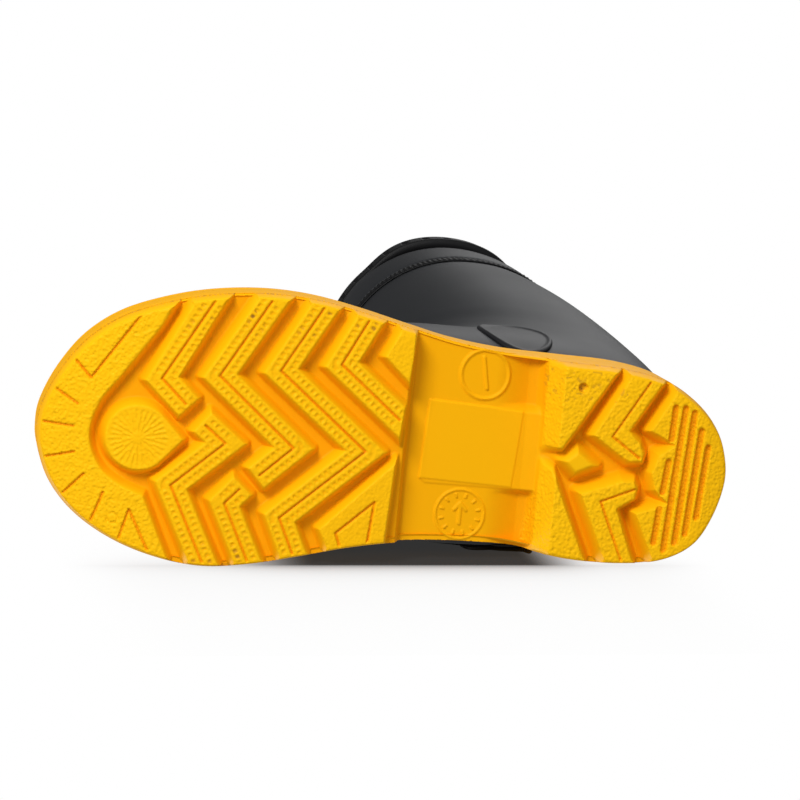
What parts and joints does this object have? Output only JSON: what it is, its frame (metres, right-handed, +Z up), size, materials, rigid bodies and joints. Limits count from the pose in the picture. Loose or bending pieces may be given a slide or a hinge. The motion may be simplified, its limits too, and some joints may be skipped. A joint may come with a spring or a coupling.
{
  "type": "firefighter rubber boot",
  "caption": "Tall moulded rubber safety boot for the left foot, charcoal upper on a deep-lugged yellow sole, with toe cap, shank, lining and loose footbed.",
  "frame": {"origin": "on the ground under the middle of the boot's bounding box", "axes": "+X from the heel to the toe, +Y to the outer side of the foot, +Z up from the tread to the rim"},
  "size_m": [0.2566, 0.1132, 0.328],
  "materials": {
    "sole_rubber": "semi-gloss nitrile rubber, bright yellow, fine stipple",
    "plate_steel": "rolled stainless spring steel",
    "shank_steel": "pressed spring steel",
    "filler_rubber": "dull crumb rubber",
    "upper_rubber": "satin moulded rubber, charcoal",
    "rim_rubber": "dull black rubber with fine ribs",
    "cuff_rubber": "smooth satin rubber, charcoal",
    "guard_rubber": "satin rubber, near black",
    "cap_steel": "pressed steel with a dull grey coating",
    "strip_rubber": "soft black rubber strip",
    "counter_board": "stiff thermoplastic heel board",
    "felt": "needled insulation felt, grey",
    "knit_lining": "fine jersey knit, sand",
    "hem_tape": "woven tape, black",
    "board": "pressed fibre board, tan",
    "foam": "soft moulded foam, blue-black",
    "cover_cloth": "woven wicking cloth, grey"
  },
  "bodies": {
    "boot": {"outsole": "sole_rubber", "puncture_plate": "plate_steel", "ladder_shank": "shank_steel", "heel_filler": "filler_rubber", "upper_shell": "upper_rubber", "rim_band": "rim_rubber", "cuff": "cuff_rubber", "rib_band": "rim_rubber", "ankle_guard_lateral": "guard_rubber", "ankle_guard_medial": "guard_rubber", "toe_cap": "cap_steel", "toe_cap_edge_strip": "strip_rubber", "heel_counter": "counter_board", "felt_layer": "felt", "lining_foot": "knit_lining", "lining_leg": "knit_lining", "lining_hem": "hem_tape", "insole_board": "board"},
    "footbed": {"footbed": "foam", "footbed_cover": "cover_cloth"}
  },
  "joints": [
    {"name": "footbed_lift", "type": "hinge", "parent": "boot", "child": "footbed", "pos_m": [0.11325, 0, 0.0384], "axis": [0, 1, 0], "range_deg": [0, 12]}
  ]
}
